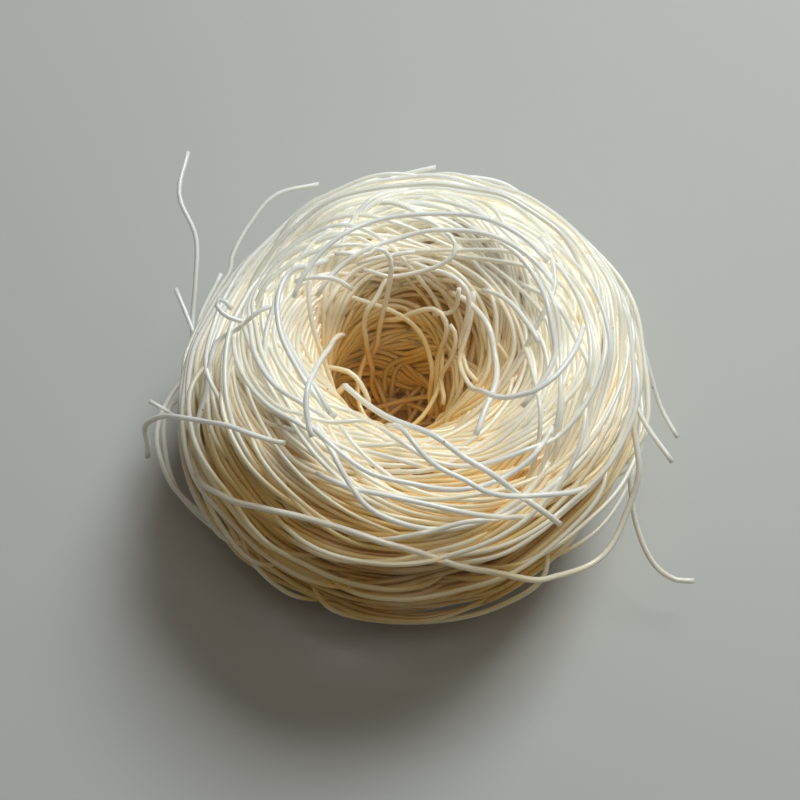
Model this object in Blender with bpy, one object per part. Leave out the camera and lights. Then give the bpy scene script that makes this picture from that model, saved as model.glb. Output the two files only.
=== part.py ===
"""A nest of dried rice vermicelli: one hank of thin noodles, wound into a thick ring round a deep hollow.

The model is in metres, +Z up, +X to the right of the nest and -Y towards its front.  The origin is the
middle of its footprint, on the surface that it stands on.  The whole nest is one closed solid, out to the
uneven outline of the noodles: a flat base, a belly, a rounded crest and a hollow that narrows downwards.
"""

import math

import bmesh
import bpy
from mathutils import Vector, noise

# Driving dimensions, in metres.
STRAND_DIAMETER = 0.0010
NEST_WIDTH = 0.083
NEST_DEPTH = 0.080
NEST_HEIGHT = 0.046
CREST_WIDTH = 0.048
HOLLOW_WIDTH = 0.019
BASE_WIDTH = 0.054
FLOOR_THICKNESS = 0.009

# The nest isn't quite round: its crest leans to the right, and the hollow runs down to the front left.
CREST_SHIFT = Vector((0.0042, 0.0006, 0.0))
THROAT_SHIFT = Vector((-0.0028, -0.0020, 0.0))

# At the back left the shoulder is slack, with fewer strands than elsewhere.  It is drawn in and a little
# down, from a share of the crest's radius outwards.
SLACK_DEPTH = 0.0042
SLACK_SINK = 0.25
SLACK_ANGLE = math.radians(142)
SLACK_SPREAD = math.radians(62)
SLACK_START = 0.6

# Places worked out from them.
BELLY_RADIUS = NEST_WIDTH / 2
CREST_RADIUS = CREST_WIDTH / 2
THROAT_RADIUS = HOLLOW_WIDTH / 2
BASE_RADIUS = BASE_WIDTH / 2
BELLY_HEIGHT = 0.45 * NEST_HEIGHT
THROAT_HEIGHT = 0.42 * NEST_HEIGHT

# How square each quarter of the outline is: 2 is an ellipse, less is straighter, more is boxier.
BELLY_SQUARENESS = 2.2
SHOULDER_SQUARENESS = 2.1
FUNNEL_SQUARENESS = 1.6
PIT_SQUARENESS = 2.4

# Resolution of the turned outline.
TURN_STEPS = 96
BASE_STEPS = 4
BELLY_STEPS = 9
SHOULDER_STEPS = 13
FUNNEL_STEPS = 14
PIT_STEPS = 6
MERGE_DISTANCE = 1e-6

# Unevenness: slow bulges of the whole ring, and the ridges where bundles of strands lie.
BULGE_HEIGHT = 0.0021
BULGE_SIZE = 0.034
LAP_HEIGHT = 0.0008
LAPS_ACROSS = 12
LAP_TWIST = 2
LAP_WANDER = 2.0
LAP_WAVES = 3
TUFT_HEIGHT = 0.0010
TUFT_SIZE = 0.0085
FLAT_FADE = 6 * STRAND_DIAMETER
NOISE_SEED = Vector((3.7, 1.3, 8.1))

NOODLE_COLOUR = (0.83, 0.77, 0.62, 1.0)
NOODLE_ROUGHNESS = 0.42


def clear_scene():
    """Removes every object of the scene that Blender opened with."""
    for item in list(bpy.data.objects):
        bpy.data.objects.remove(item)


def quarter(centre, reach, start_degrees, steps, squareness):
    """Points of a quarter of a superellipse in the outline's plane, without its first point."""
    points = []
    for step in range(1, steps + 1):
        angle = math.radians(start_degrees + 90 * step / steps)
        across, up = math.cos(angle), math.sin(angle)
        power = 2 / squareness
        points.append((
            centre[0] + reach[0] * math.copysign(abs(across) ** power, across),
            centre[1] + reach[1] * math.copysign(abs(up) ** power, up),
        ))
    return points


def outline():
    """The nest's half section as (radius, height), from the base's middle round to the hollow's floor."""
    base = [(BASE_RADIUS * step / BASE_STEPS, 0.0) for step in range(BASE_STEPS + 1)]
    belly = quarter(
        (BASE_RADIUS, BELLY_HEIGHT),
        (BELLY_RADIUS - BASE_RADIUS, BELLY_HEIGHT),
        -90,
        BELLY_STEPS,
        BELLY_SQUARENESS,
    )
    shoulder = quarter(
        (CREST_RADIUS, BELLY_HEIGHT),
        (BELLY_RADIUS - CREST_RADIUS, NEST_HEIGHT - BELLY_HEIGHT),
        0,
        SHOULDER_STEPS,
        SHOULDER_SQUARENESS,
    )
    funnel = quarter(
        (CREST_RADIUS, THROAT_HEIGHT),
        (CREST_RADIUS - THROAT_RADIUS, NEST_HEIGHT - THROAT_HEIGHT),
        90,
        FUNNEL_STEPS,
        FUNNEL_SQUARENESS,
    )
    pit = quarter(
        (0.0, THROAT_HEIGHT),
        (THROAT_RADIUS, FLOOR_THICKNESS - THROAT_HEIGHT),
        0,
        PIT_STEPS,
        PIT_SQUARENESS,
    )
    return base + belly + shoulder + funnel + pit


def turn(points):
    """A closed mesh of the outline turned once about Z."""
    mesh = bmesh.new()
    corners = [mesh.verts.new((radius, 0.0, height)) for radius, height in points]
    edges = [mesh.edges.new(pair) for pair in zip(corners, corners[1:], strict=False)]
    bmesh.ops.spin(
        mesh,
        geom=corners + edges,
        axis=(0.0, 0.0, 1.0),
        cent=(0.0, 0.0, 0.0),
        angle=2 * math.pi,
        steps=TURN_STEPS,
        use_merge=True,
    )
    bmesh.ops.remove_doubles(mesh, verts=mesh.verts, dist=MERGE_DISTANCE)
    bmesh.ops.recalc_face_normals(mesh, faces=mesh.faces)
    return mesh


def smooth_step(value):
    """0 below 0, 1 above 1, and a smooth rise between them."""
    held = min(1.0, max(0.0, value))
    return held * held * (3 - 2 * held)


def outer_corners(mesh):
    """The corners of the base, which lies below the hollow's floor, and of the wall outside the crest."""
    return {
        corner
        for corner in mesh.verts
        if corner.co.z < FLOOR_THICKNESS / 2
        or math.hypot(corner.co.x, corner.co.y) > CREST_RADIUS - MERGE_DISTANCE
    }


def lean(mesh, outer):
    """Shifts the crest and the hollow sideways, each by its own amount, and gives the nest its depth.

    outer are the corners of the base and the outer wall; the others are the funnel and the pit.
    """
    for corner in mesh.verts:
        if corner in outer:
            shift = CREST_SHIFT * smooth_step(corner.co.z / NEST_HEIGHT)
        else:
            rise = (corner.co.z - THROAT_HEIGHT) / (NEST_HEIGHT - THROAT_HEIGHT)
            shift = THROAT_SHIFT.lerp(CREST_SHIFT, smooth_step(rise))
        corner.co.y *= NEST_DEPTH / NEST_WIDTH
        corner.co += shift


def slacken(mesh):
    """Draws the shoulder in where the ring holds fewer strands."""
    inwards = Vector((-math.cos(SLACK_ANGLE), -math.sin(SLACK_ANGLE), -SLACK_SINK))
    for corner in mesh.verts:
        aside = abs(math.remainder(math.atan2(corner.co.y, corner.co.x) - SLACK_ANGLE, 2 * math.pi))
        share = smooth_step(1 - aside / SLACK_SPREAD) * smooth_step(corner.co.z / NEST_HEIGHT)
        outside = smooth_step(math.hypot(corner.co.x, corner.co.y) / CREST_RADIUS - SLACK_START)
        corner.co += SLACK_DEPTH * share * outside * inwards


def relief(place):
    """How far the noodles stand out from the smooth ring at a place on it."""
    turned = math.atan2(place.y, place.x)
    across = math.atan2(place.z - BELLY_HEIGHT, math.hypot(place.x, place.y) - CREST_RADIUS)
    bulge = BULGE_HEIGHT * noise.noise(place / BULGE_SIZE + NOISE_SEED)
    wander = LAP_WANDER * math.sin(LAP_WAVES * turned)
    laps = LAP_HEIGHT * math.cos(LAPS_ACROSS * across + LAP_TWIST * turned + wander)
    tufts = TUFT_HEIGHT * noise.noise(place / TUFT_SIZE - NOISE_SEED)
    return bulge + laps + tufts


def make_uneven(mesh):
    """Pushes the ring's points out and in along their normals, less near the flat base and in the hollow."""
    mesh.normal_update()
    shifts = {}
    for corner in mesh.verts:
        above_base = min(1.0, corner.co.z / FLAT_FADE)
        from_axis = smooth_step(math.hypot(corner.co.x, corner.co.y) / CREST_RADIUS)
        shifts[corner] = relief(corner.co) * above_base * from_axis * corner.normal
    for corner, shift in shifts.items():
        corner.co += shift


def centre_on_footprint(mesh):
    """Moves the mesh sideways so that the origin is the middle of its footprint's box."""
    for axis in (0, 1):
        places = [corner.co[axis] for corner in mesh.verts]
        middle = (min(places) + max(places)) / 2
        for corner in mesh.verts:
            corner.co[axis] -= middle


def noodle_material():
    """Dried rice noodle, a creamy white with a soft shine."""
    material = bpy.data.materials.new("rice_noodle")
    material.use_nodes = True
    shader = material.node_tree.nodes["Principled BSDF"]
    shader.inputs["Base Color"].default_value = NOODLE_COLOUR
    shader.inputs["Roughness"].default_value = NOODLE_ROUGHNESS
    shader.inputs["Metallic"].default_value = 0.0
    return material


def build_nest():
    """The whole nest as one solid."""
    mesh = turn(outline())
    lean(mesh, outer_corners(mesh))
    slacken(mesh)
    make_uneven(mesh)
    centre_on_footprint(mesh)
    data = bpy.data.meshes.new("vermicelli_nest")
    mesh.to_mesh(data)
    mesh.free()
    data.shade_smooth()
    nest = bpy.data.objects.new("vermicelli_nest", data)
    nest.data.materials.append(noodle_material())
    bpy.context.scene.collection.objects.link(nest)
    return nest


clear_scene()
build_nest()
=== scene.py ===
"""A nest of dried rice vermicelli: thin strands wound into a thick ring round a deep hollow.

The CAD solid gives the nest's outline.  Strands are laid out on it in ring coordinates, which are the turn
round the nest's axis, the angle round the ring's section and the depth below the outline.  They then settle
against each other, so that they lie on rather than in one another, and become closed tubes over a small
core that is painted dark as shade.  Their colour holds painted shade too: warmer and darker where they lie
deep, low on the front wall and down in the hollow.  Strand work is in millimetres and degrees, and finished
meshes are in metres.
"""

import logging
import math
from dataclasses import dataclass, field
from enum import Enum

import bpy
import numpy as np
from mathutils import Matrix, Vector
from mathutils.bvhtree import BVHTree


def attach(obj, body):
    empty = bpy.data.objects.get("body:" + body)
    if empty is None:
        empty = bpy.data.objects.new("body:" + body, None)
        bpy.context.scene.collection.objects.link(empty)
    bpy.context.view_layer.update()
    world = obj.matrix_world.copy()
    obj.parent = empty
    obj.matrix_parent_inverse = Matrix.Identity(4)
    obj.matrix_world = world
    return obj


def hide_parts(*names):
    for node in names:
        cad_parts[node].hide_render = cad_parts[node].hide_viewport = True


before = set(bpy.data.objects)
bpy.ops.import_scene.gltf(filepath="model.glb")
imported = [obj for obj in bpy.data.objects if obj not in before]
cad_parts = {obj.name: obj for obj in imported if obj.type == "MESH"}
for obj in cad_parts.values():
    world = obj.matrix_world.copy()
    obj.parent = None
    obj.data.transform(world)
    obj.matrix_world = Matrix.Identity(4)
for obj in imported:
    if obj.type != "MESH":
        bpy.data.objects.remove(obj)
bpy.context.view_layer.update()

log = logging.getLogger("vermicelli")

NODE = "vermicelli_nest"
BODY = "root"
MM = 0.001
STRAND_RADIUS = 0.475

# How far past the outline the strands with routes of their own may lie, and how readily they give way.
LAID_PROUD = 9.0
UNBOUND = 60.0
TRACED_GIVE = 0.15

# How far a tucked end goes on, and how much it turns towards the middle of the ring's section.
TUCK_LENGTH = 7.0
TUCK_INWARDS = 0.35

# Faces with this many corners run along a tube and are shaded smooth, while its ends stay flat.
SMOOTH_CORNERS = 4

Array = np.ndarray
Colour = tuple[float, float, float]
Route = tuple[tuple[float, float, float], ...]
Socket = bpy.types.NodeSocket


class Kind(Enum):
    """The kinds of strand, each of which becomes one piece."""

    DEEP = "deep_windings"
    WALL = "wall_windings"
    CREST = "crest_windings"
    FUNNEL = "funnel_windings"
    BASE = "base_windings"
    CROSSING = "floor_crossings"
    LOOSE = "loose_strands"


@dataclass
class Strand:
    """One noodle.

    Attributes:
        points: Its centre line, in millimetres, evenly spaced.
        kind: The piece that it belongs to.
        proud: How far past the outline it may lie, in millimetres.
        radius: Half its thickness, in millimetres.
        tone: A number from 0 to 1 that shades its colour.
        give: How readily other strands push it aside, from 0 to 1.
    """

    points: Array
    kind: Kind
    proud: float
    radius: float
    tone: float
    give: float = 1.0


@dataclass
class RingOutline:
    """The nest's outline, as a reach from the middle of the ring's section.

    A section angle of 0 is the outer wall, 90 the crest, 180 the hollow's wall and 270 the base.

    Attributes:
        ring_radius: From the nest's axis to the middle of the section.
        ring_height: From the base to the middle of the section.
        turn_steps: Rays cast round the nest.
        section_steps: Rays cast round the section.
        least_radius: How near to the axis the outline may come.
        buried_depth: How far below the outline a strand counts as buried.
        buried_share: How strong the painted shade of buried strands is there.
        proud_height: How far outside the outline a strand stands free.
        open_share: The share of the outer wall's painted shade that a free strand still has.
        hollow_radius: From the axis to where the hollow starts.
        hollow_fade: How far in from there it is all hollow.
        crest_height: The height at which the hollow starts.
        hollow_depth: How far below that its painted shade is darkest.
        sunk_most: How strong the hollow's painted shade is there at the most.
        shade_height: The height below which the outer wall has painted shade.
        shade_depth: How far below that the painted shade is strongest.
        shade_share: How strong the wall's painted shade is there, from 0 to 1.
        shaded_side: The turn, in degrees, of the side away from the window lamp, where the painted shade is
            strongest.
        shaded_side_power: How quickly that painted shade wears off on both sides.
        lit_side_share: How much of that painted shade its other side has.
    """

    ring_radius: float = 25.5
    ring_height: float = 20.5
    turn_steps: int = 120
    section_steps: int = 96
    least_radius: float = 5.5
    buried_depth: float = 3.6
    buried_share: float = 0.23
    proud_height: float = 2.4
    open_share: float = 0.5
    hollow_radius: float = 27.0
    hollow_fade: float = 9.0
    crest_height: float = 46.0
    hollow_depth: float = 22.0
    sunk_most: float = 1.05
    shade_height: float = 46.0
    shade_depth: float = 16.0
    shade_share: float = 1.25
    # The front side, away from the window lamp, gets the most painted shade.
    shaded_side: float = 268.0
    shaded_side_power: int = 3
    lit_side_share: float = 0.16
    table: Array = field(init=False)

    def __post_init__(self) -> None:
        """Reads the CAD solid once into the table of reaches."""
        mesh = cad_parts[NODE].data
        corners = [corner.co.copy() for corner in mesh.vertices]
        tree = BVHTree.FromPolygons(corners, [tuple(face.vertices) for face in mesh.polygons])
        self.table = np.zeros((self.turn_steps, self.section_steps))
        for row in range(self.turn_steps):
            turn = 2 * math.pi * row / self.turn_steps
            outwards = Vector((math.cos(turn), math.sin(turn), 0.0))
            middle = outwards * self.ring_radius * MM + Vector((0, 0, self.ring_height * MM))
            for column in range(self.section_steps):
                angle = 2 * math.pi * column / self.section_steps
                heading = outwards * math.cos(angle) + Vector((0, 0, math.sin(angle)))
                hit = tree.ray_cast(middle, heading)[3]
                reach = (hit or 0.0) / MM
                if math.cos(angle) < 0:
                    reach = min(reach, (self.ring_radius - self.least_radius) / -math.cos(angle))
                self.table[row, column] = reach
        for axis in (0, 1):
            self.table = (np.roll(self.table, 1, axis) + 2 * self.table + np.roll(self.table, -1, axis)) / 4

    def reach(self, turn: Array, section: Array) -> Array:
        """How far the outline is from the middle of the section.

        Args:
            turn: Angles round the nest, in radians.
            section: Angles round the section, in radians.

        Returns:
            The reaches in millimetres, read smoothly from the table.
        """
        rows = (turn / (2 * math.pi) % 1.0) * self.turn_steps
        columns = (section / (2 * math.pi) % 1.0) * self.section_steps
        row, column = np.floor(rows).astype(int), np.floor(columns).astype(int)
        down, along = rows - row, columns - column
        row, column = row % self.turn_steps, column % self.section_steps
        below, beside = (row + 1) % self.turn_steps, (column + 1) % self.section_steps
        return (
            self.table[row, column] * (1 - down) * (1 - along)
            + self.table[below, column] * down * (1 - along)
            + self.table[row, beside] * (1 - down) * along
            + self.table[below, beside] * down * along
        )

    def place(self, turn: Array, section: Array, depth: Array) -> Array:
        """Turns ring coordinates into points.

        Args:
            turn: Angles round the nest, in radians.
            section: Angles round the section, in radians.
            depth: Millimetres below the outline, negative outside it.

        Returns:
            The points in millimetres, one a row.
        """
        reach = self.reach(turn, section) - depth
        radius = self.ring_radius + reach * np.cos(section)
        height = self.ring_height + reach * np.sin(section)
        return np.stack([radius * np.cos(turn), radius * np.sin(turn), height], 1)

    def painted_shade(self, points: Array) -> Array:
        """Painted shade: how much warmer and darker the noodle is coloured at points, standing in for the
        shade and warm light among many strands.

        Args:
            points: Points in millimetres, one a row.

        Returns:
            The painted shade for each point, 0 in the open, 1 among strands and more at the hollow's floor.
        """
        turn, section, distance = self.locate(points)
        depth = self.reach(turn, section) - distance
        # Painted shade for strands lying under others, warmer the deeper they lie.
        buried = np.clip(depth / self.buried_depth, 0, 1)
        covered = np.clip(1 + depth / self.proud_height, self.open_share, 1)
        inside = np.clip((self.hollow_radius - np.hypot(points[:, 0], points[:, 1])) / self.hollow_fade, 0, 1)
        # Painted shade down in the hollow, darker the deeper it lies.
        sunk = np.clip((self.crest_height - points[:, 2]) / self.hollow_depth, 0, self.sunk_most) * inside
        # Painted shade that is strongest on the front side, away from the window lamp.
        side_shade = (0.5 + 0.5 * np.cos(turn - math.radians(self.shaded_side))) ** self.shaded_side_power
        # Painted shade low on the outer wall, less on strands that stand free of it.
        low = np.clip((self.shade_height - points[:, 2]) / self.shade_depth, 0, 1) * (1 - inside)
        low = low * (self.lit_side_share + (1 - self.lit_side_share) * side_shade)
        # All of these add up to the painted shade.
        return buried * self.buried_share * (1 + low) + sunk + self.shade_share * low * covered

    def locate(self, points: Array) -> tuple[Array, Array, Array]:
        """Turns points into ring coordinates.

        Args:
            points: Points in millimetres, one a row.

        Returns:
            The turns, the section angles and the distances from the middle of the section.
        """
        turn = np.arctan2(points[:, 1], points[:, 0])
        across = np.hypot(points[:, 0], points[:, 1]) - self.ring_radius
        up = points[:, 2] - self.ring_height
        return turn, np.arctan2(up, across), np.hypot(across, up)


def evenly_spaced(points: Array, spacing: float) -> Array:
    """Places points evenly along a line.

    Args:
        points: The line's points, one a row.
        spacing: The distance wanted between points.

    Returns:
        New points along the line.
    """
    steps = np.linalg.norm(np.diff(points, axis=0), axis=1)
    along = np.concatenate([[0.0], np.cumsum(steps)])
    count = max(4, int(round(along[-1] / spacing)) + 1)
    wanted = np.linspace(0.0, along[-1], count)
    return np.stack([np.interp(wanted, along, points[:, axis]) for axis in range(3)], 1)


@dataclass(frozen=True)
class Winding:
    """How one kind of strand is wound round the ring.

    Attributes:
        kind: The kind of strand.
        turns: How many turns are wound in all.
        depth: The least and the most depth below the outline.
        section: The span of section angles that the turns lie in, in degrees.
        bundle: The fewest and the most strands that lie side by side.
        length: The shortest and the longest strand, in turns.
        sway: How far a turn leans from side to side, in degrees of section.
        ripple: The same for its second wave.
        lean: The turn angle that most turns rise towards, in degrees.
        lean_share: How strongly they do so, from 0 to 1.
        stray: How far the strands of a bundle wander from each other, from 0 to 1.
        drift: The most that a strand moves across the section in a turn, in degrees.
        proud: How far past the outline they may lie.
        slack: How much further in some of them are held.
        dive: How much deeper a strand's ends lie.
    """

    kind: Kind
    turns: float
    depth: tuple[float, float]
    section: tuple[float, float]
    bundle: tuple[int, int] = (1, 6)
    length: tuple[float, float] = (0.6, 2.2)
    sway: float = 22.0
    ripple: float = 7.0
    lean: float = 90.0
    lean_share: float = 0.3
    stray: float = 0.15
    drift: float = 14.0
    proud: float = 0.6
    slack: float = 0.3
    dive: float = 3.0


@dataclass
class StrandWinder:
    """Lays out bundles of strands on the outline.

    Attributes:
        outline: The nest's outline.
        spacing: The distance between the points of a strand.
        gap: The distance between the strands of a bundle.
        fineness: How many places of a turn are worked out.
        most_astray: How far a strand wanders from its bundle at the most, in degrees.
        dive_turn: How near to its ends a strand dives, in radians of turn.
        seed: The seed of its random numbers.
    """

    outline: RingOutline
    spacing: float = 1.6
    gap: float = 1.0
    fineness: int = 140
    most_astray: float = 12.0
    dive_turn: float = 0.45
    seed: int = 7

    def __post_init__(self) -> None:
        """Starts the random numbers."""
        self.random = np.random.default_rng(self.seed)

    def between(self, span: tuple[float, float]) -> float:
        """A random number in a span."""
        return float(self.random.uniform(*span))

    def angle(self) -> float:
        """A random angle, in radians."""
        return self.between((0, 2 * math.pi))

    def wind(self, winding: Winding) -> list[Strand]:
        """Lays out all the turns of one kind.

        Args:
            winding: How they are wound.

        Returns:
            The strands.
        """
        strands: list[Strand] = []
        left = winding.turns
        while left > 0:
            made, used = self.bundle(winding)
            strands += made
            left -= used
        return strands

    def bundle(self, winding: Winding) -> tuple[list[Strand], float]:
        """Lays out one bundle of strands that run side by side.

        Args:
            winding: How they are wound.

        Returns:
            The strands, and the turns that they take in all.
        """
        count = int(self.random.integers(winding.bundle[0], winding.bundle[1] + 1))
        start = self.between((0, 2 * math.pi))
        length = self.between(winding.length)
        middle = math.radians(self.between(winding.section))
        depth = self.between(winding.depth)
        leaning = self.random.random() < winding.lean_share
        phase = math.radians(winding.lean + self.between((-25, 25)) - 90) if leaning else self.angle()
        sway = math.radians(winding.sway) * self.between((0.4, 1.0))
        ripple = math.radians(winding.ripple) * self.between((0.2, 1.0))
        ripple_phase, third_phase, depth_phase = self.angle(), self.angle(), self.angle()
        drift = math.radians(winding.drift) * self.between((-1, 1))
        strands: list[Strand] = []
        used = 0.0
        for place in range(count):
            own = length * self.between((0.8, 1.15))
            begin = start + self.between((-0.25, 0.25))
            turn = begin + np.linspace(0, own * 2 * math.pi, max(16, int(own * self.fineness)))
            aside = (place - (count - 1) / 2) * self.gap * self.between((0.95, 1.12))
            astray = winding.stray * math.radians(self.most_astray)
            section = (
                middle
                + sway * np.sin(turn - phase)
                + ripple * np.sin(2 * turn + ripple_phase)
                + 0.4 * ripple * np.sin(3 * turn + third_phase)
                + drift * (turn - start - length * math.pi) / (2 * math.pi)
                + astray * self.between((0.3, 1)) * np.sin(turn * self.between((0.7, 1.6)) + self.angle())
            )
            section = section + aside / self.outline.reach(turn, section)
            ends = np.minimum(turn - turn[0], turn[-1] - turn)
            sunk = winding.dive * np.clip(1 - ends / self.dive_turn, 0, 1) ** 2
            waver = 0.3 * np.sin(2 * turn + depth_phase) + 0.2 * np.sin(5 * turn + third_phase)
            points = evenly_spaced(self.outline.place(turn, section, depth + waver + sunk), self.spacing)
            width = STRAND_RADIUS * self.between((0.88, 1.06))
            proud = winding.proud - winding.slack * self.random.random()
            strands.append(Strand(points, winding.kind, proud, width, self.random.random()))
            used += own
        return strands, used


@dataclass
class Settling:
    """Moves strands apart until they lie against each other.

    Attributes:
        outline: The nest's outline, which they stay in.
        rounds: How many times they are moved.
        stiffness: How many times a round evens out each strand's shifts.
        firm_stiffness: The same in the last rounds.
        clearance: How far strands stay back from the outline in the hollow.
        memory: The share of its shift that a strand keeps in a round.
        hold: How far back a round draws a strand that is outside its bounds, as a share.
        firm_rounds: How many rounds at the end bend more freely and hold strands firmly.
        notable: The depth of overlap that is counted in the log.
        search_every: How many rounds keep the same pairs of neighbours.
        eagerness: How much further than an overlap strands are pushed.
    """

    outline: RingOutline
    rounds: int
    stiffness: int = 5
    firm_stiffness: int = 2
    clearance: float = 0.9
    memory: float = 0.99
    hold: float = 0.5
    firm_rounds: int = 8
    notable: float = 0.25
    search_every: int = 4
    eagerness: float = 1.3

    def settle(self, strands: list[Strand]) -> None:
        """Settles all strands together, in place.

        Args:
            strands: The strands, whose points are replaced.
        """
        counts = [len(strand.points) for strand in strands]
        rest = np.concatenate([strand.points for strand in strands])
        owner = np.repeat(np.arange(len(strands)), counts)
        proud = np.repeat([strand.proud for strand in strands], counts)
        radius = np.repeat([strand.radius for strand in strands], counts)
        give = np.repeat([strand.give for strand in strands], counts)[:, None]
        joined = owner[1:] == owner[:-1]
        self.segments = np.flatnonzero(joined)
        before = np.arange(len(rest)) - np.concatenate([[False], joined])
        after = np.arange(len(rest)) + np.concatenate([joined, [False]])
        place = rest.copy()
        longest = float(np.linalg.norm(rest[self.segments + 1] - rest[self.segments], axis=1).max())
        for turn in range(self.rounds):
            if turn % self.search_every == 0:
                first, second = self.neighbours(place, owner, longest + 2.2 * STRAND_RADIUS + 0.3)
            place += give * self.pushes(place, first, second, radius)
            shift = place - rest
            firm = turn >= self.rounds - self.firm_rounds
            for _ in range(self.firm_stiffness if firm else self.stiffness):
                shift = 0.5 * shift + 0.25 * (shift[before] + shift[after])
            place = self.held(rest + shift * self.memory, proud, radius, 1.0 if firm else self.hold)
        start = 0
        for strand, count in zip(strands, counts):
            strand.points = place[start:start + count]
            start += count
        log.info("settled %d strands of %.1f m in all", len(strands), len(place) * longest * MM)
        log.info("%d contacts, %d over %.2f mm deep", self.contacts, self.deep_contacts, self.notable)

    def neighbours(self, place: Array, owner: Array, near: float) -> tuple[Array, Array]:
        """Finds the pairs of segments that may touch, by sorting them into cells.

        Args:
            place: The points.
            owner: The strand of each point.
            near: The most that the middles of two touching segments lie apart.

        Returns:
            The first and the second segment of each pair, by their first points.
        """
        middle = (place[self.segments] + place[self.segments + 1]) / 2
        cell = np.floor((middle - middle.min(0)) / near).astype(np.int64) + 1
        size = cell.max(0) + 2
        key = (cell[:, 0] * size[1] + cell[:, 1]) * size[2] + cell[:, 2]
        order = np.argsort(key, kind="stable")
        key, middle, segment = key[order], middle[order], self.segments[order]
        firsts, seconds = [], []
        index = np.arange(len(key))
        steps = [(x, y, z) for x in (0, 1) for y in (-1, 0, 1) for z in (-1, 0, 1)]
        for x, y, z in [step for step in steps if step >= (0, 0, 0)]:
            aim = key + (x * size[1] + y) * size[2] + z
            low, high = np.searchsorted(key, aim, "left"), np.searchsorted(key, aim, "right")
            if (x, y, z) == (0, 0, 0):
                low = index + 1
            count = np.maximum(high - low, 0)
            first = np.repeat(index, count)
            second = np.arange(count.sum()) - np.repeat(np.cumsum(count) - count - low, count)
            close = ((middle[first] - middle[second]) ** 2).sum(1) < near * near
            firsts.append(first[close])
            seconds.append(second[close])
        first, second = segment[np.concatenate(firsts)], segment[np.concatenate(seconds)]
        apart = (owner[first] != owner[second]) | (np.abs(first - second) > 3)
        return first[apart], second[apart]

    def pushes(self, place: Array, first: Array, second: Array, radius: Array) -> Array:
        """How far each point is pushed by the segments that its own overlap.

        Args:
            place: The points.
            first: The first segment of each pair.
            second: The second segment of each pair.
            radius: Each point's strand radius.

        Returns:
            The pushes, one a row.
        """
        start, other = place[first], place[second]
        run, other_run = place[first + 1] - start, place[second + 1] - other
        between = start - other
        a, e = (run * run).sum(1), (other_run * other_run).sum(1)
        b, c, f = (run * other_run).sum(1), (run * between).sum(1), (other_run * between).sum(1)
        spread = a * e - b * b
        along = np.where(spread > 0.02 * a * e, (b * f - c * e) / np.maximum(spread, 1e-9), 0.5).clip(0, 1)
        other_along = ((b * along + f) / e).clip(0, 1)
        along = ((b * other_along - c) / a).clip(0, 1)
        gap = between + run * along[:, None] - other_run * other_along[:, None]
        distance = np.sqrt((gap * gap).sum(1)) + 1e-9
        overlap = radius[first] + radius[second] - distance
        touch = overlap > 0
        self.contacts = int(touch.sum())
        self.deep_contacts = int((overlap > self.notable).sum())
        first, second, along, other_along = first[touch], second[touch], along[touch], other_along[touch]
        weight = (1 - along) ** 2 + along**2 + (1 - other_along) ** 2 + other_along**2
        push = gap[touch] * (overlap[touch] / distance[touch] / weight)[:, None]
        points = np.concatenate([first, first + 1, second, second + 1])
        shares = np.concatenate([1 - along, along, other_along - 1, -other_along])
        total = np.zeros_like(place)
        for axis in range(3):
            total[:, axis] = np.bincount(points, shares * np.tile(push[:, axis], 4), len(place))
        count = np.bincount(points, np.abs(shares), len(place))
        return self.eagerness * total / np.maximum(count, 1.0)[:, None]

    def held(self, place: Array, proud: Array, radius: Array, share: float) -> Array:
        """Keeps points inside the outline and above the surface that the nest stands on.

        Args:
            place: The points.
            proud: How far past the outline each may lie.
            radius: Each point's strand radius.
            share: How much of the way back they are drawn.

        Returns:
            The points, moved.
        """
        turn, section, distance = self.outline.locate(place)
        inside = np.clip((-np.cos(section) + 0.1) / 0.5, 0, 1) * np.clip(1.2 + 2 * np.sin(section), 0, 1)
        most = self.outline.reach(turn, section) - radius + proud - self.clearance * inside * (proud < 5)
        over = np.maximum(distance - most, 0.0) * share
        scale = (distance - over) / np.maximum(distance, 1e-6)
        ring, middle = self.outline.ring_radius, self.outline.ring_height
        across = ring + (np.hypot(place[:, 0], place[:, 1]) - ring) * scale
        up = middle + (place[:, 2] - middle) * scale
        return np.stack([across * np.cos(turn), across * np.sin(turn), np.maximum(up, radius)], 1)


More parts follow.
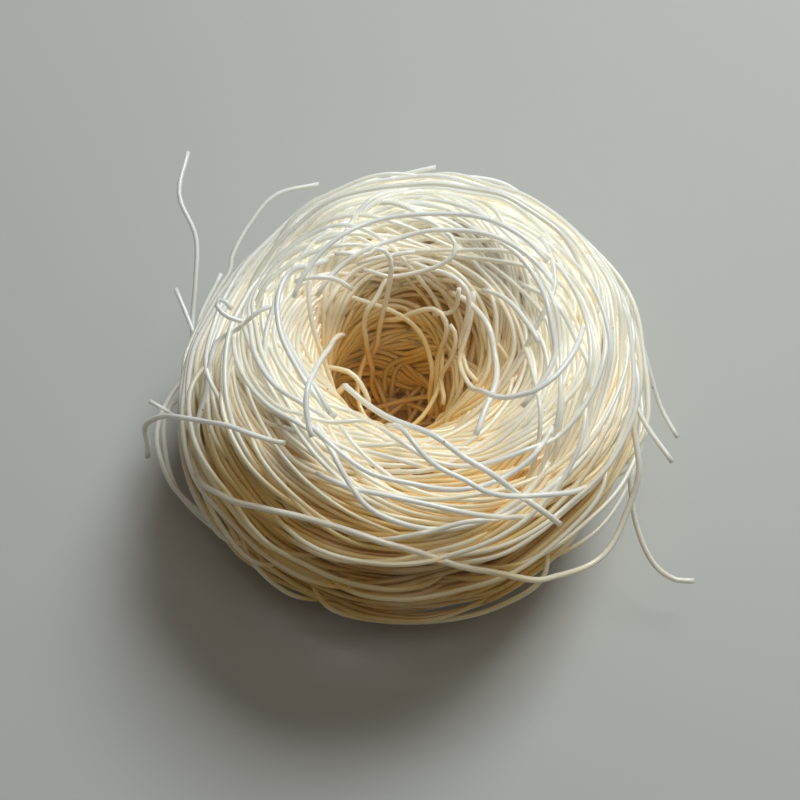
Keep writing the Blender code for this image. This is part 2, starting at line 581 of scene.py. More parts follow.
WINDINGS = (
    Winding(Kind.DEEP, 38, (4.4, 6.6), (0, 360), (2, 7), (0.8, 2.2), sway=18, proud=-3.6),
    Winding(
        Kind.WALL, 62, (2.4, 4.6), (-55, 80), (1, 5), (0.5, 1.5),
        sway=26, ripple=9, lean=90, lean_share=0.5, stray=0.7, drift=34, proud=-1.9, slack=1.0,
    ),
    Winding(
        Kind.WALL, 26, (0.5, 2.6), (-50, 72), (1, 3), (0.4, 1.2),
        sway=32, ripple=9, lean=90, lean_share=0.4, stray=0.9, drift=50, proud=-0.3, slack=1.8,
    ),
    Winding(
        Kind.CREST, 56, (1.8, 4.2), (48, 128), (1, 5), (0.4, 1.3),
        sway=26, ripple=9, lean=190, lean_share=0.5, stray=0.7, drift=34, proud=-1.5, slack=0.6,
    ),
    Winding(
        Kind.CREST, 18, (-0.2, 1.4), (56, 122), (1, 3), (0.4, 1.0),
        sway=32, ripple=9, lean=190, lean_share=0.4, stray=0.9, drift=50, proud=0.3, slack=1.6,
    ),
    Winding(
        Kind.FUNNEL, 56, (1.0, 3.4), (108, 204), (2, 5), (0.45, 1.1),
        sway=44, ripple=7, lean=270, lean_share=0.9, stray=0.35, drift=14, proud=-0.7,
    ),
    Winding(
        Kind.FUNNEL, 14, (-0.4, 0.7), (120, 190), (1, 2), (0.35, 0.8),
        sway=46, ripple=9, lean=270, lean_share=0.6, stray=0.8, drift=40, proud=0.8, slack=1.0,
    ),
    Winding(
        Kind.CREST, 12, (1.0, 3.2), (98, 134), (2, 5), (0.4, 1.0),
        sway=10, ripple=5, stray=0.5, proud=-1.0,
    ),
    Winding(
        Kind.FUNNEL, 16, (0.4, 2.4), (196, 222), (2, 5), (0.5, 1.2),
        sway=12, ripple=5, stray=0.4, proud=-0.4,
    ),
    Winding(Kind.BASE, 7, (1.0, 2.8), (288, 316), (2, 5), (0.5, 1.5), sway=8, ripple=4, proud=-0.8),
    Winding(Kind.BASE, 26, (0.2, 2.4), (228, 300), (2, 6), (0.5, 1.5), sway=8, ripple=4),
    Winding(
        Kind.LOOSE, 20, (-0.8, 1.6), (-20, 80), (1, 2), (0.25, 0.8),
        sway=26, ripple=6, lean=90, lean_share=0.5, stray=0.9, drift=40, proud=1.0, slack=2.0, dive=5.0,
    ),
    Winding(
        Kind.LOOSE, 5, (-2.4, -0.8), (0, 70), (1, 1), (0.2, 0.4),
        sway=20, ripple=4, lean=90, lean_share=0.5, stray=0.9, drift=50, proud=2.4, slack=1.0, dive=7.0,
    ),
)


def smooth_route(points: Route, steps: int = 24) -> Array:
    """Draws a smooth line through points, rounded by a Catmull-Rom spline.

    Args:
        points: The points that the line passes through.
        steps: How many places it takes from each point to the next.

    Returns:
        The places along the line.
    """
    known = np.array(points, float)
    held = np.concatenate([[2 * known[0] - known[1]], known, [2 * known[-1] - known[-2]]])
    along = np.linspace(0, 1, steps, endpoint=False)[:, None]
    line = [
        0.5 * (
            2 * b
            + (c - a) * along
            + (2 * a - 5 * b + 4 * c - d) * along**2
            + (3 * b - a - 3 * c + d) * along**3
        )
        for a, b, c, d in zip(held, held[1:], held[2:], held[3:])
    ]
    return np.concatenate([*line, known[-1:]])


@dataclass
class HollowCrossings:
    """The strands that cross the hollow: thickly over its floor, a few higher up, and under the nest.

    Attributes:
        middle: The middle of the hollow's floor, seen from above.
        reach: How far from there a strand's ends lie, inside the wall.
        offset: How far a strand passes from the middle at the most.
        bow: How far it bends to one side at the most.
        floor_count: How many lie over the floor.
        bridge_count: How many cross higher up.
        under_count: How many lie under the nest.
        floor_low, bridge_low, under_low: How low they hang in the middle, from and to.
        floor_lift, bridge_lift: How much higher their ends lie, from and to.
        seed: The seed of its random numbers.
    """

    middle: tuple[float, float] = (-4.3, -1.1)
    reach: float = 13.5
    offset: float = 8.5
    bow: float = 12.0
    floor_count: int = 44
    bridge_count: int = 6
    under_count: int = 22
    floor_low: tuple[float, float] = (5.5, 11.5)
    bridge_low: tuple[float, float] = (15, 25)
    under_low: tuple[float, float] = (0.5, 2.5)
    floor_lift: tuple[float, float] = (2, 9)
    bridge_lift: tuple[float, float] = (-1, 5)
    seed: int = 11

    def make(self, spacing: float) -> list[Strand]:
        """Makes all of them.

        Args:
            spacing: The distance between a strand's points.

        Returns:
            The strands.
        """
        random = np.random.default_rng(self.seed)
        draw = random.uniform
        made = [
            self.chord(random, draw(*lows), draw(*lifts))
            for count, lows, lifts in (
                (self.floor_count, self.floor_low, self.floor_lift),
                (self.bridge_count, self.bridge_low, self.bridge_lift),
            )
            for _ in range(count)
        ]
        made += [self.chord(random, draw(*self.under_low), 0.0) for _ in range(self.under_count)]
        return [
            Strand(
                evenly_spaced(line, spacing),
                Kind.CROSSING,
                UNBOUND,
                STRAND_RADIUS * random.uniform(0.9, 1.05),
                random.random(),
            )
            for line in made
        ]

    def chord(self, random: np.random.Generator, low: float, lift: float) -> Array:
        """One line across the hollow, which sags in the middle.

        Args:
            random: The random numbers.
            low: Its lowest height.
            lift: How much higher its ends lie.

        Returns:
            Its points.
        """
        bearing = random.uniform(0, 2 * math.pi)
        ahead = np.array([math.cos(bearing), math.sin(bearing)])
        aside = np.array([-ahead[1], ahead[0]])
        past = random.uniform(-self.offset, self.offset)
        bow = random.uniform(-self.bow, self.bow)
        route = []
        for share in (-1.0, -0.55, 0.0, 0.55, 1.0):
            off = aside * (past + bow * (1 - share * share))
            x, y = np.array(self.middle) + ahead * share * self.reach + off
            route.append((x, y, low + lift * share * share))
        return smooth_route(tuple(route))


class Tucked(Enum):
    """Which ends of a stray strand go on into the nest."""

    NONE = "none"
    START = "start"
    BOTH = "both"


@dataclass(frozen=True)
class LaidStrand:
    """A strand that lies on the nest by a route of its own.

    Attributes:
        route: Its points, each a turn and a section angle in degrees and a height over the outline.
        radius: Half its thickness.
        tone: How creamy it is, from 0 to 1.
    """

    route: Route
    radius: float
    tone: float = 0.15

    def make(self, outline: RingOutline, spacing: float) -> Strand:
        """Makes the strand.

        Args:
            outline: The nest's outline.
            spacing: The distance between its points.

        Returns:
            The strand, on its route.
        """
        turn, section, over = smooth_route(self.route).T
        points = evenly_spaced(outline.place(np.radians(turn), np.radians(section), -over), spacing)
        return Strand(points, Kind.LOOSE, LAID_PROUD, self.radius, self.tone, TRACED_GIVE)


@dataclass(frozen=True)
class StraySprig(LaidStrand):
    """A strand that leaves the nest and stands free, with its route given as points in millimetres.

    Attributes:
        tone: How creamy it is, from 0 to 1.
        tucked: Which of its ends go on into the nest.
    """

    tone: float = 0.1
    tucked: Tucked = Tucked.NONE

    def make(self, outline: RingOutline, spacing: float) -> Strand:
        """Makes the strand, of which only tucked ends heed the outline.

        Args:
            outline: The nest's outline.
            spacing: The distance between its points.

        Returns:
            The strand, on its route.
        """
        route = [np.array(point, float) for point in self.route]
        if self.tucked is not Tucked.NONE:
            route.insert(0, self.tuck(outline, route[0], route[1]))
        if self.tucked is Tucked.BOTH:
            route.append(self.tuck(outline, route[-1], route[-2]))
        points = evenly_spaced(smooth_route(tuple(route)), spacing)
        return Strand(points, Kind.LOOSE, UNBOUND, self.radius, self.tone, TRACED_GIVE)

    @staticmethod
    def tuck(outline: RingOutline, end: Array, before: Array) -> Array:
        """Where a strand goes on to, inside the ring.

        Args:
            outline: The nest's outline.
            end: The strand's last point.
            before: The point before it.

        Returns:
            The next point.
        """
        ahead = end + (end - before) / np.linalg.norm(end - before) * TUCK_LENGTH
        flat = ahead[:2] / np.linalg.norm(ahead[:2]) * outline.ring_radius
        return ahead + (np.array([flat[0], flat[1], outline.ring_height]) - ahead) * TUCK_INWARDS


LAID_STRANDS = (
    # The long strand that sweeps round the front and up to the right.
    LaidStrand(((192, 0, -1.5), (207, 14, 1), (216, 30, 1.2), (233, 54, 1), (251, 61, 1), (269, 56, 1.2),
        (283, 42, 1.6), (296, 22, 2.6), (309, 0, 5), (320, -6, 6.5), (332, 4, 4.5), (342, 20, 1.5),
        (352, 34, -1.5)), 0.57),
    # Out of the hollow, over the front rim, to a cut end on the right.
    LaidStrand(((190, 150, -0.5), (212, 124, 0.6), (240, 121, 1.2), (277, 104, 1.4), (293, 88, 1.5),
        (304, 66, 1.8), (311, 40, 2.2)), 0.57),
    # The open loop on the right of the hollow.
    LaidStrand(((46, 116, 0), (39, 124, 1.2), (25, 136, 2), (3, 143, 2.4), (-27, 130, 2.4), (-38, 108, 2),
        (-31, 95, 1.8), (-22, 89, 1.4), (-10, 84, 0.2), (4, 78, -1.2)), 0.51),
    # Ends and hooks on the back rim and in the hollow.
    LaidStrand(((66, 138, 0.6), (50, 130, 1.2), (53, 118, 1.4)), 0.46),
    LaidStrand(((42, 112, -1), (27, 106, 0.6), (8, 101, 0.8), (-4, 97, 0.9)), 0.5),
    LaidStrand(((118, 112, 0.4), (103, 119, 1.2), (85, 118, 1.4), (71, 113, 1.5), (65, 107, 1.6),
        (67, 101, 1.2), (78, 96, 0.3), (92, 92, -1.2)), 0.47),
    LaidStrand(((128, 100, -0.6), (114, 107, 0.8), (106, 106, 1.5), (101, 112, 1.8), (106, 126, 1.6),
        (116, 140, 1.2), (128, 165, 1), (140, 190, -0.5)), 0.47),
    LaidStrand(((120, 109, 0.2), (101, 110, 1.3), (86, 109, 1.4)), 0.46),
    LaidStrand(((150, 96, -1), (143, 104, 1), (137, 109, 1.5), (131, 117, 1.5)), 0.47),
    # The hook that springs from the left wall and hangs outside it.
    LaidStrand(((222, 82, -1.6), (213, 73, 1.2), (205, 64, 2), (197, 47, 3.4), (190, 24, 5.2), (187, 2, 6.4),
        (190, -18, 7)), 0.51),
    # Strands that bow down into the hollow.
    LaidStrand(((134, 118, -1.2), (123, 128, 0.8), (106, 137, 1.3), (83, 146, 1.7), (56, 157, 2),
        (23, 164, 2), (-9, 175, 1.6), (-32, 185, 0.4)), 0.49),
    LaidStrand(((114, 146, -1), (102, 144, 1), (84, 139, 1.6), (66, 134, 1.9), (52, 136, 2), (44, 142, 2),
        (33, 159, 1.8), (-10, 171, 1.2)), 0.49),
    LaidStrand(((104, 119, -1), (115, 127, 0.9), (129, 133, 1.4), (137, 153, 2), (138, 192, 2.2),
        (143, 208, 2)), 0.49),
    LaidStrand(((62, 124, -1), (51, 122, 0.9), (36, 121, 1.5), (16, 119, 2), (-4, 119, 2), (-24, 113, 1.4),
        (-45, 107, 0.4), (-58, 100, -1)), 0.57),
    LaidStrand(((45, 136, 2.4), (34, 138, 2.2), (20, 146, 2), (1, 160, 1.8), (-36, 160, 0.6)), 0.47),
    LaidStrand(((92, 112, -1), (78, 115, 0.8), (63, 115, 1.3), (46, 117, 1.7), (35, 127, 2), (22, 139, 2),
        (-3, 140, 1.4), (-16, 134, -0.4)), 0.49),
    # Strands that sweep over the back of the crest.
    LaidStrand(((64, 92, -1), (53, 93, 0.8), (37, 92, 1.1), (21, 92, 1.1), (4, 92, 1.1), (-9, 90, 0.9),
        (-22, 92, 0.6), (-34, 95, -1)), 0.47),
    LaidStrand(((158, 99, -1), (145, 98, 0.8), (126, 97, 1), (105, 95, 1), (84, 94, 1), (63, 90, 1),
        (44, 87, 0.8), (30, 84, -1)), 0.47),
    LaidStrand(((150, 108, -1), (139, 107, 0.8), (118, 106, 1), (98, 104, 1), (77, 99, 1.2), (55, 94, 1.3),
        (36, 90, 1), (20, 86, -0.8)), 0.47),
    # Strands that cross each other over the front.
    LaidStrand(((222, 93, -1), (235, 91, 0.8), (245, 89, 1), (257, 86, 1.1), (272, 84, 1.1), (287, 79, 1.1),
        (299, 77, 1), (312, 77, 0.8), (326, 79, -1)), 0.49),
    LaidStrand(((228, 95, -1), (239, 90, 0.8), (249, 82, 1.2), (257, 74, 1.3), (266, 69, 1.3),
        (279, 64, 1.4), (292, 63, 1.3), (304, 65, 1), (318, 70, -1)), 0.49),
    LaidStrand(((253, 56, -1), (264, 60, 0.8), (274, 64, 1.5), (286, 66, 1.8), (297, 62, 1.7),
        (307, 62, 1.5), (316, 61, 1.2), (330, 58, -0.8)), 0.49),
    LaidStrand(((238, 80, -1), (250, 79, 0.9), (263, 79, 1.3), (275, 76, 1.5), (286, 70, 1.6),
        (298, 61, 1.5), (308, 52, -0.8)), 0.51),
    LaidStrand(((256, 118, -0.5), (266, 106, 1), (276, 94, 1.4), (288, 83, 1.7), (294, 75, 1.9),
        (306, 65, 2), (315, 55, 1.8), (324, 42, 0.2)), 0.49),
    # Strands that cross each other over the left of the crest.
    LaidStrand(((132, 100, -1), (141, 98, 0.8), (149, 93, 1.2), (163, 94, 1.4), (177, 97, 1.5),
        (197, 101, 1.5), (215, 102, 1.3), (232, 103, -0.6)), 0.51),
    LaidStrand(((163, 94, -1), (172, 81, 0.8), (175, 66, 1.3), (183, 61, 1.4), (190, 51, 1.4), (198, 36, 1),
        (206, 18, -0.8)), 0.47),
    LaidStrand(((148, 138, -0.6), (157, 130, 1), (183, 119, 1.7), (203, 108, 1.8), (215, 99, 1.5),
        (230, 90, -0.6)), 0.51),
    LaidStrand(((180, 99, 0.6), (188, 101, 1.2), (200, 103, 1.4), (215, 103, 1.6), (229, 101, 0.2)), 0.49),
)

BOTH = Tucked.BOTH
START = Tucked.START

STRAY_SPRIGS = (
    StraySprig(((-37, 5, 12), (-40, 12, 13), (-40.5, 19.5, 14), (-40, 26, 17), (-40, 34, 20),
        (-43.3, 42, 22), (-42, 51.5, 22)), 0.46),
    StraySprig(((-37, 6, 16), (-39, 16, 17), (-36, 23, 18), (-33.5, 27, 19), (-33, 30, 20), (-30, 36, 21),
        (-25, 42, 22), (-17, 45, 21)), 0.46),
    StraySprig(((-37, 4, 14), (-39.5, 14, 17), (-43.5, 24, 18)), 0.42),
    StraySprig(((-36, 5, 17), (-39, 15, 19), (-35, 26, 20)), 0.44),
    StraySprig(((-36, -4, 12), (-41, -1, 12), (-48, 3, 13)), 0.45),
    StraySprig(((-36, 12, 14), (-43, 6, 13), (-46.5, -3, 12), (-44, -12, 11), (-39, -18, 11),
        (-32, -24, 12)), 0.52),
    StraySprig(((32, 22, 24), (37, 20, 28), (41, 16, 24), (44, 8, 19), (46.5, 1, 15), (49.5, -5, 14)), 0.46),
    StraySprig(((34, 12, 30), (38, 4, 27), (42, -7, 26), (47, -15, 25)), 0.5),
    StraySprig(((36, 2, 24), (39.5, -9, 20), (41, -20, 13), (44, -27, 9), (48, -30, 7),
        (52, -30.5, 7)), 0.52),
    StraySprig(((44, -5, 18), (40, -11, 20), (35, -15, 23), (28, -16, 26)), 0.46),
    # Strands that lie across the hollow.
    StraySprig(((-6.1, 10.6, 20), (-0.2, 11.6, 17), (6.2, 11, 20)), 0.48, 0.6, BOTH),
    StraySprig(((-7.4, 6.9, 16), (-1.3, 8.9, 13), (5.6, 5.1, 16)), 0.48, 0.6, BOTH),
    StraySprig(((-12.6, -0.9, 34), (-9.5, -2.4, 34), (-7.4, -5.6, 33), (-6.9, -7.7, 32)), 0.5, tucked=START),
    # A small hook at the left of the crest.
    StraySprig(((-28.1, 4, 41.5), (-30.6, 4.4, 42.5), (-32.5, 5.4, 43), (-33.6, 7.1, 43), (-33.2, 8.2, 43),
        (-32, 7.7, 43), (-31, 6.4, 42.5)), 0.48, tucked=START),
    # Slack strands that stand off the back.
    StraySprig(((-24.3, 27.2, 24), (-22.2, 31.6, 27), (-18.9, 34.2, 29), (-13.6, 36.7, 30), (-7.1, 37.3, 31),
        (0.3, 36.1, 32)), 0.48, tucked=BOTH),
    StraySprig(((-18.5, 28.7, 30), (-15.6, 32.4, 31), (-10.3, 36.1, 31), (-3.4, 39.8, 31), (-1.4, 41.4, 30),
        (5.2, 43.2, 30)), 0.48, tucked=START),
    StraySprig(((-9.7, 37.2, 30), (-0.2, 41.3, 29), (10.7, 42.3, 28), (17.9, 41.4, 27), (22.7, 38.2, 26),
        (26.6, 35, 25)), 0.5, tucked=BOTH),
    StraySprig(((-6.1, 37.4, 32), (2.2, 39, 31), (13, 37.9, 30), (22.6, 34.3, 28), (30.8, 27.3, 27),
        (36.5, 19.7, 26)), 0.48, tucked=BOTH),
    # Slack strands that stand off the right.
    StraySprig(((25.8, 30.6, 33), (31.6, 23.7, 31), (36.1, 15.4, 29), (38.8, 5.9, 27), (39.8, -4.3, 24),
        (40.2, -12.7, 20)), 0.48, tucked=BOTH),
    StraySprig(((30.7, 24.2, 34), (34, 19, 32), (36.9, 13.8, 30), (39, 9, 28), (40.2, 2.9, 26),
        (38.3, -4.3, 24)), 0.46, tucked=BOTH),
    StraySprig(((28.2, 16.5, 36), (31.2, 11.7, 35), (33.2, 5.8, 34), (34.4, -0.1, 32), (34.7, -4.7, 30),
        (35.3, -10.9, 27)), 0.46, tucked=BOTH),
    StraySprig(((38.9, 12.4, 22), (42.5, 3.8, 18), (43, -4.8, 14), (39.9, -14.3, 12), (33.5, -24, 14),
        (23.8, -30.7, 18)), 0.48, tucked=BOTH),
    # Slack strands that stand off the left.
    StraySprig(((-38.2, 9.4, 20), (-41.1, 5.1, 18), (-41.8, -1.8, 16), (-40.8, -10.4, 15),
        (-38.1, -18.1, 15), (-32.6, -26.1, 16)), 0.48, tucked=BOTH),
    StraySprig(((-32.9, 10.6, 28), (-36.6, 5.1, 26), (-38.8, -4.3, 24), (-38.3, -13.6, 22),
        (-34.7, -22.8, 20), (-27.7, -30.7, 18)), 0.5, tucked=BOTH),
    StraySprig(((-44.5, 1.4, 12), (-44.8, -6, 11), (-42.2, -14, 10), (-35.4, -21.5, 11), (-26.9, -27.4, 13),
        (-17.5, -33.2, 15)), 0.48, tucked=BOTH),
    # Slack strands that stand off the front.
    StraySprig(((-16.2, -36.6, 16), (-11.7, -38.8, 12), (-1.4, -39.6, 10), (9, -39.2, 11), (17, -37.7, 14),
        (23.6, -34.8, 19)), 0.48, tucked=BOTH),
    StraySprig(((-26.6, -29.4, 18), (-19.8, -34, 14), (-10.6, -37.2, 12), (-0.2, -38.7, 11),
        (10.1, -37.9, 12), (19.2, -34.8, 16), (29.5, -27, 21)), 0.5, tucked=BOTH),
    StraySprig(((-28.9, -29.4, 18), (-22.2, -34.5, 12), (-15.3, -35.2, 10), (-8.9, -33.6, 13)), 0.46,
        tucked=START),
)


@dataclass(frozen=True)
class RiceNoodle:
    """The finish of a dry rice noodle, creamy and a little see-through, with painted shade that makes it
    warmer where it lies deeper.

    Attributes:
        name: The material's name.
        pale: Its colour on the outside.
        cream: The colour of its creamier strands.
        shade_amber: The colour of its painted shade among other strands.
        shade_umber: The colour of its darker painted shade at the bottom of the hollow.
        speck: The colour of the few bran specks.
        roughness: How dull its shine is.
        see_through: How much light passes under its surface.
        passing: How far that light goes, in metres.
        shadow: How much of a lamp's beam each wall of a strand stops.
        sheen: How strongly its edges catch the light.
        smoother: How much less dull it is in places.
        rougher: How much duller it is in others.
        blotches, specks, grain, bumps: How many cells each noise pattern has to a metre.
        blotch_rise: Where in its pattern a blotch starts and is full, and how creamy it is there.
        speck_rise: The same for a speck.
        shade_umber_rise: Where on the painted shade scale the darker painted shade colour starts and is full.
        bump_strength: How strongly the bumps show.
        bump_height: How high they are, in metres.
        passing_tint: How far each colour of light goes on inside it.
        bending: How strongly it bends light.
    """

    name: str = "rice_noodle_dry"
    pale: Colour = (0.93, 0.932, 0.9)
    cream: Colour = (0.92, 0.89, 0.79)
    shade_amber: Colour = (0.84, 0.595, 0.22)
    shade_umber: Colour = (0.60, 0.37, 0.11)
    speck: Colour = (0.30, 0.17, 0.07)
    roughness: float = 0.22
    see_through: float = 1.0
    passing: float = 0.001
    shadow: float = 0.11
    sheen: float = 0.1
    smoother: float = 0.08
    rougher: float = 0.12
    blotches: float = 90.0
    specks: float = 1100.0
    grain: float = 1800.0
    bumps: float = 2600.0
    blotch_rise: tuple[float, float, float] = (0.35, 0.75, 0.35)
    speck_rise: tuple[float, float, float] = (0.86, 0.89, 0.7)
    shade_umber_rise: tuple[float, float] = (1.0, 1.6)
    bump_strength: float = 0.18
    bump_height: float = 0.0001
    passing_tint: Colour = (1.0, 0.97, 0.92)
    bending: float = 1.5

    def dress(self) -> bpy.types.Material:
        """Makes the material.

        Returns:
            A material that reads the strands' tone and painted shade attributes and Object coordinates.
        """
        material = bpy.data.materials.new(self.name)
        material.use_nodes = True
        tree = material.node_tree
        shader = tree.nodes["Principled BSDF"]

        def node(kind: str, **values: object) -> bpy.types.Node:
            """Adds a node.

            Args:
                kind: The node's type.
                values: Its properties.

            Returns:
                The node.
            """
            made = tree.nodes.new(kind)
            for name, value in values.items():
                setattr(made, name, value)
            return made

        def mix(share: Socket, low: object, high: object) -> Socket:
            """Mixes two colours.

            Args:
                share: How much of the second colour shows.
                low: The first colour, a socket or three numbers.
                high: The second colour, a socket or three numbers.

            Returns:
                The mixed colour.
            """
            made = node("ShaderNodeMix", data_type="RGBA")
            tree.links.new(share, made.inputs["Factor"])
            for name, value in (("A", low), ("B", high)):
                socket = next(s for s in made.inputs if s.name == name and s.type == "RGBA")
                if isinstance(value, tuple):
                    socket.default_value = (*value, 1.0)
                else:
                    tree.links.new(value, socket)
            return next(s for s in made.outputs if s.type == "RGBA")

        def spread(value: Socket, low: float, high: float, least: float, most: float, kind: str) -> Socket:
            """Spreads a value from low to high over least to most.

            Args:
                value: The value.
                low: The value that becomes the least.
                high: The value that becomes the most.
                least: The least result.
                most: The most result.
                kind: The shape of the rise between them.

            Returns:
                The result.
            """
            made = node("ShaderNodeMapRange", interpolation_type=kind)
            for name, number in (("From Min", low), ("From Max", high), ("To Min", least), ("To Max", most)):
                made.inputs[name].default_value = number
            tree.links.new(value, made.inputs["Value"])
            return made.outputs["Result"]

        def ramp(value: Socket, low: float, high: float, most: float = 1.0) -> Socket:
            """Spreads a value from low to high smoothly over 0 to most."""
            return spread(value, low, high, 0.0, most, "SMOOTHSTEP")

        def noise(scale: float, detail: float = 2.0) -> Socket:
            """Makes a noise pattern on Object coordinates.

            Args:
                scale: How many cells it has to a metre.
                detail: How many finer layers it has.

            Returns:
                The pattern, from 0 to 1.
            """
            made = node("ShaderNodeTexNoise")
            made.inputs["Scale"].default_value = scale
            made.inputs["Detail"].default_value = detail
            tree.links.new(coordinates.outputs["Object"], made.inputs["Vector"])
            return made.outputs["Fac"]

        coordinates = node("ShaderNodeTexCoord")
        tone = node("ShaderNodeAttribute", attribute_name="tone").outputs["Fac"]
        painted_shade = node("ShaderNodeAttribute", attribute_name="painted_shade").outputs["Fac"]
        colour = mix(ramp(tone, 0.0, 1.0), self.pale, self.cream)
        # Painted shade turns the colour warmer and darker, first amber, then deeper still.
        colour = mix(ramp(painted_shade, 0.0, 1.0), colour, self.shade_amber)
        colour = mix(ramp(painted_shade, *self.shade_umber_rise), colour, self.shade_umber)
        colour = mix(ramp(noise(self.blotches), *self.blotch_rise), colour, self.cream)
        colour = mix(ramp(noise(self.specks, 0.0), *self.speck_rise), colour, self.speck)
        tree.links.new(colour, shader.inputs["Base Color"])
        least, most = self.roughness - self.smoother, self.roughness + self.rougher
        dull = spread(noise(self.grain), 0.0, 1.0, least, most, "LINEAR")
        tree.links.new(dull, shader.inputs["Roughness"])
        bump = node("ShaderNodeBump")
        bump.inputs["Strength"].default_value = self.bump_strength
        bump.inputs["Distance"].default_value = self.bump_height
        tree.links.new(noise(self.bumps), bump.inputs["Height"])
        tree.links.new(bump.outputs["Normal"], shader.inputs["Normal"])
        shader.subsurface_method = "RANDOM_WALK"
        shader.inputs["Sheen Weight"].default_value = self.sheen
        shader.inputs["Subsurface Weight"].default_value = self.see_through
        shader.inputs["Subsurface Radius"].default_value = self.passing_tint
        shader.inputs["Subsurface Scale"].default_value = self.passing
        shader.inputs["IOR"].default_value = self.bending
        shadow_ray = node("ShaderNodeLightPath").outputs["Is Shadow Ray"]
        tree.links.new(spread(shadow_ray, 0.0, 1.0, 1.0, self.shadow, "LINEAR"), shader.inputs["Alpha"])
        return material


@dataclass
class NoodleTubes:
    """Makes strands into closed tubes, one mesh for each kind.

    Attributes:
        outline: The nest's outline, which gives each point's painted shade.
        finish: The strands' material.
        sides: How many sides a tube has.
    """

    outline: RingOutline
    finish: bpy.types.Material
    sides: int = 6

    def build(self, kind: Kind, strands: list[Strand]) -> bpy.types.Object:
        """Builds the piece of one kind.

        Args:
            kind: The kind of strand.
            strands: All of its strands.

        Returns:
            The piece, which rides on the nest.
        """
        places, faces, tones, painted_shades = [], [], [], []
        base = 0
        for strand in strands:
            ring = self.rings(strand)
            corners, quads, caps = self.skin(ring)
            places.append(corners)
            faces += (quads + base).tolist() + (caps + base).tolist()
            base += len(corners)
            # Painted shade for each corner, from its strand's points.
            painted_shades.append(np.repeat(self.outline.painted_shade(strand.points), self.sides))
            tones.append(np.full(len(corners), strand.tone))
        mesh = bpy.data.meshes.new(kind.value)
        mesh.from_pydata((np.concatenate(places) * MM).tolist(), [], faces)
        mesh.polygons.foreach_set("use_smooth", [len(face) == SMOOTH_CORNERS for face in faces])
        for name, values in (("tone", tones), ("painted_shade", painted_shades)):
            layer = mesh.attributes.new(name, "FLOAT", "POINT")
            layer.data.foreach_set("value", np.concatenate(values).astype(np.float32))
        mesh.materials.append(self.finish)
        piece = bpy.data.objects.new(kind.value, mesh)
        bpy.context.scene.collection.objects.link(piece)
        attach(piece, BODY)
        triangles = sum(len(face) - 2 for face in faces)
        log.info("%s: %d strands, %d triangles", kind.value, len(strands), triangles)
        return piece

    def rings(self, strand: Strand) -> Array:
        """The corners round each point of a strand, with as little twist as can be.

        Args:
            strand: The strand.

        Returns:
            An array of points by sides by 3.
        """
        along = np.gradient(strand.points, axis=0)
        along /= np.linalg.norm(along, axis=1)[:, None] + 1e-12
        side = np.cross(along[0], (0.0, 0.0, 1.0) if abs(along[0][2]) < 0.9 else (1.0, 0.0, 0.0))
        sideways = np.empty_like(along)
        for index, heading in enumerate(along):
            side = side - heading * side.dot(heading)
            side = side / math.sqrt(side.dot(side))
            sideways[index] = side
        upwards = np.cross(along, sideways)
        angles = np.arange(self.sides) * 2 * math.pi / self.sides
        cosines, sines = np.cos(angles)[None, :, None], np.sin(angles)[None, :, None]
        spokes = sideways[:, None] * cosines + upwards[:, None] * sines
        return strand.points[:, None] + spokes * strand.radius

    def skin(self, ring: Array) -> tuple[Array, Array, Array]:
        """The corners and faces of one tube.

        Args:
            ring: The corners round each point.

        Returns:
            The corners, the four-sided faces along the tube and the two end faces.
        """
        count = len(ring)
        start = (np.arange(count - 1) * self.sides)[:, None]
        here = np.arange(self.sides)[None]
        after = (here + 1) % self.sides
        ahead = start + self.sides
        quads = np.stack([start + here, start + after, ahead + after, ahead + here], 2)
        last = (count - 1) * self.sides
        caps = np.stack([np.arange(self.sides)[::-1], last + np.arange(self.sides)])
        return ring.reshape(-1, 3), quads.reshape(-1, 4), caps


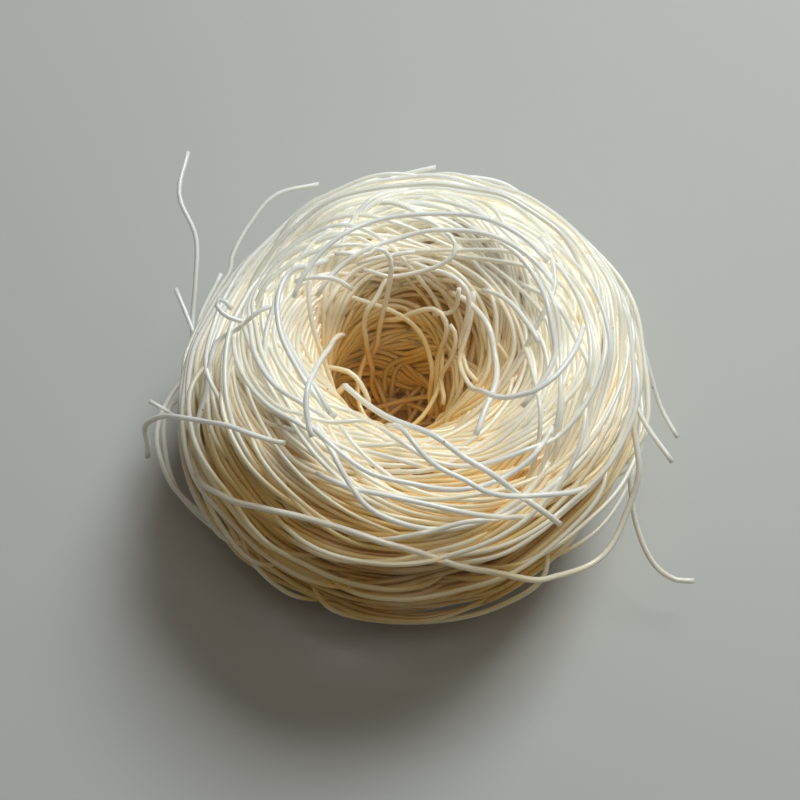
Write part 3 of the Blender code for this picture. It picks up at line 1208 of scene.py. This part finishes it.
@dataclass
class Studio:
    """The camera, the floor and a soft window light from behind.

    Attributes:
        elevation: How steeply the camera looks down, in degrees.
        distance: From the aim to the camera, in metres.
        aim: The point that the camera looks at, in metres.
        lens: The focal length, in millimetres.
        floor_colour: The floor's colour.
        room_colour: The colour of the even light in the room.
        room_light: How strong that light is.
    """

    elevation: float = 64.0
    distance: float = 0.46
    aim: tuple[float, float, float] = (-0.0015, 0.0077, 0.0037)
    lens: float = 109.0
    floor_colour: Colour = (0.52, 0.52, 0.5)
    room_colour: Colour = (1.0, 0.9, 0.76)
    room_light: float = 0.07

    def build(self) -> None:
        """Makes all of the studio."""
        self.camera()
        self.floor()
        self.sky()
        self.lamp("window", (0.3, 0.48, 0.64), 0.32, 6.0, (0.88, 0.95, 0.96))
        self.lamp("ceiling", (0.1, -0.1, 0.85), 0.5, 0.9, (1.0, 0.94, 0.84))
        bpy.context.scene.cycles.max_bounces = 20
        bpy.context.scene.cycles.diffuse_bounces = 14
        log.info("studio ready")

    def camera(self) -> None:
        """Stands the camera in front of the nest and above it."""
        tilt = math.radians(self.elevation)
        back = Vector((0, -math.cos(tilt), math.sin(tilt)))
        lens = bpy.data.cameras.new("camera")
        lens.lens = self.lens
        lens.sensor_width = 36
        stand = bpy.data.objects.new("camera", lens)
        stand.location = Vector(self.aim) + back * self.distance
        stand.rotation_euler = (math.pi / 2 - tilt, 0, 0)
        bpy.context.scene.collection.objects.link(stand)
        bpy.context.scene.camera = stand

    def floor(self) -> None:
        """Lays a plain pale floor."""
        bpy.ops.object.select_all(action="DESELECT")
        bpy.ops.mesh.primitive_plane_add(size=6, location=(0, 0, 0))
        floor = bpy.context.active_object
        floor.name = "floor"
        paint = bpy.data.materials.new("floor_paint")
        paint.use_nodes = True
        shader = paint.node_tree.nodes["Principled BSDF"]
        shader.inputs["Base Color"].default_value = (*self.floor_colour, 1)
        shader.inputs["Roughness"].default_value = 0.7
        floor.data.materials.append(paint)

    def sky(self) -> None:
        """Fills the room with a little even light."""
        world = bpy.data.worlds.new("room")
        world.use_nodes = True
        light = world.node_tree.nodes["Background"]
        light.inputs["Color"].default_value = (*self.room_colour, 1)
        light.inputs["Strength"].default_value = self.room_light
        bpy.context.scene.world = world
        bpy.context.scene.view_settings.view_transform = "Standard"

    def lamp(self, name: str, place: tuple, size: float, power: float, colour: tuple) -> None:
        """Hangs a square soft light that faces the nest.

        Args:
            name: The light's name.
            place: Where it hangs, in metres.
            size: Its side, in metres.
            power: Its power, in watts.
            colour: Its colour.
        """
        light = bpy.data.lights.new(name, "AREA")
        light.size = size
        light.energy = power
        light.color = colour
        stand = bpy.data.objects.new(name, light)
        stand.location = place
        stand.rotation_euler = (-Vector(place)).to_track_quat("-Z", "Y").to_euler()
        bpy.context.scene.collection.objects.link(stand)


@dataclass
class NestCore:
    """The middle of the ring, painted dark as shade, which shows only between strands.

    Attributes:
        major: From the nest's axis to the middle of the ring, in metres.
        across: Half the core's width across the ring, in metres.
        tall: Half its height, in metres.
        height: How high its middle is, in metres.
        floor: Half the thickness of the disc that closes it below, in metres.
        floor_height: How high the disc's middle is, in metres.
        lumps: How uneven it is, in metres.
    """

    major: float = 0.0265
    across: float = 0.0082
    tall: float = 0.0155
    height: float = 0.0205
    floor: float = 0.0026
    floor_height: float = 0.0042
    lumps: float = 0.0016

    def build(self, finish: bpy.types.Material) -> bpy.types.Object:
        """Builds the core as a tall lumpy ring.

        Args:
            finish: Its material.

        Returns:
            The core, which stands for the CAD node.
        """
        bpy.ops.object.select_all(action="DESELECT")
        bpy.ops.mesh.primitive_torus_add(
            major_segments=120,
            minor_segments=40,
            major_radius=self.major,
            minor_radius=self.across,
            location=(0, 0, self.height),
        )
        core = bpy.context.active_object
        core.name = core.data.name = "nest_core"
        bpy.ops.object.mode_set(mode="EDIT")
        bpy.ops.mesh.select_all(action="SELECT")
        bpy.ops.transform.resize(value=(1, 1, self.tall / self.across))
        bpy.ops.mesh.select_all(action="DESELECT")
        bpy.ops.mesh.primitive_uv_sphere_add(
            segments=64,
            ring_count=20,
            radius=self.major,
            location=(0, 0, self.floor_height),
        )
        bpy.ops.transform.resize(value=(1, 1, self.floor / self.major))
        bpy.ops.object.mode_set(mode="OBJECT")
        bpy.ops.object.transform_apply(location=True, rotation=True, scale=True)
        clouds = bpy.data.textures.new("core_lumps", "CLOUDS")
        clouds.noise_scale = 0.007
        uneven = core.modifiers.new("lumps", "DISPLACE")
        uneven.texture = clouds
        uneven.strength = self.lumps
        bpy.ops.object.modifier_apply(modifier=uneven.name)
        bpy.ops.object.shade_smooth()
        # Painted shade: the core is coloured dark umber, standing in for the deep shade among strands.
        for name, value in (("tone", 0.7), ("painted_shade", 1.45)):
            layer = core.data.attributes.new(name, "FLOAT", "POINT")
            layer.data.foreach_set("value", np.full(len(core.data.vertices), value, np.float32))
        core.data.materials.append(finish)
        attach(core, BODY)
        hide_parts(NODE)
        log.info("nest_core: %d faces", len(core.data.polygons))
        return core


def main() -> None:
    """Builds the studio, the core and every kind of strand."""
    logging.basicConfig(level=logging.INFO)
    Studio().build()
    outline = RingOutline()
    finish = RiceNoodle().dress()
    NestCore().build(finish)
    winder = StrandWinder(outline)
    strands = [strand for winding in WINDINGS for strand in winder.wind(winding)]
    strands += HollowCrossings().make(winder.spacing)
    strands += [laid.make(outline, winder.spacing) for laid in (*LAID_STRANDS, *STRAY_SPRIGS)]
    Settling(outline, rounds=48).settle(strands)
    tubes = NoodleTubes(outline, finish)
    for kind in Kind:
        members = [strand for strand in strands if strand.kind is kind]
        if members:
            tubes.build(kind, members)


if __name__ == "__main__":
    main()
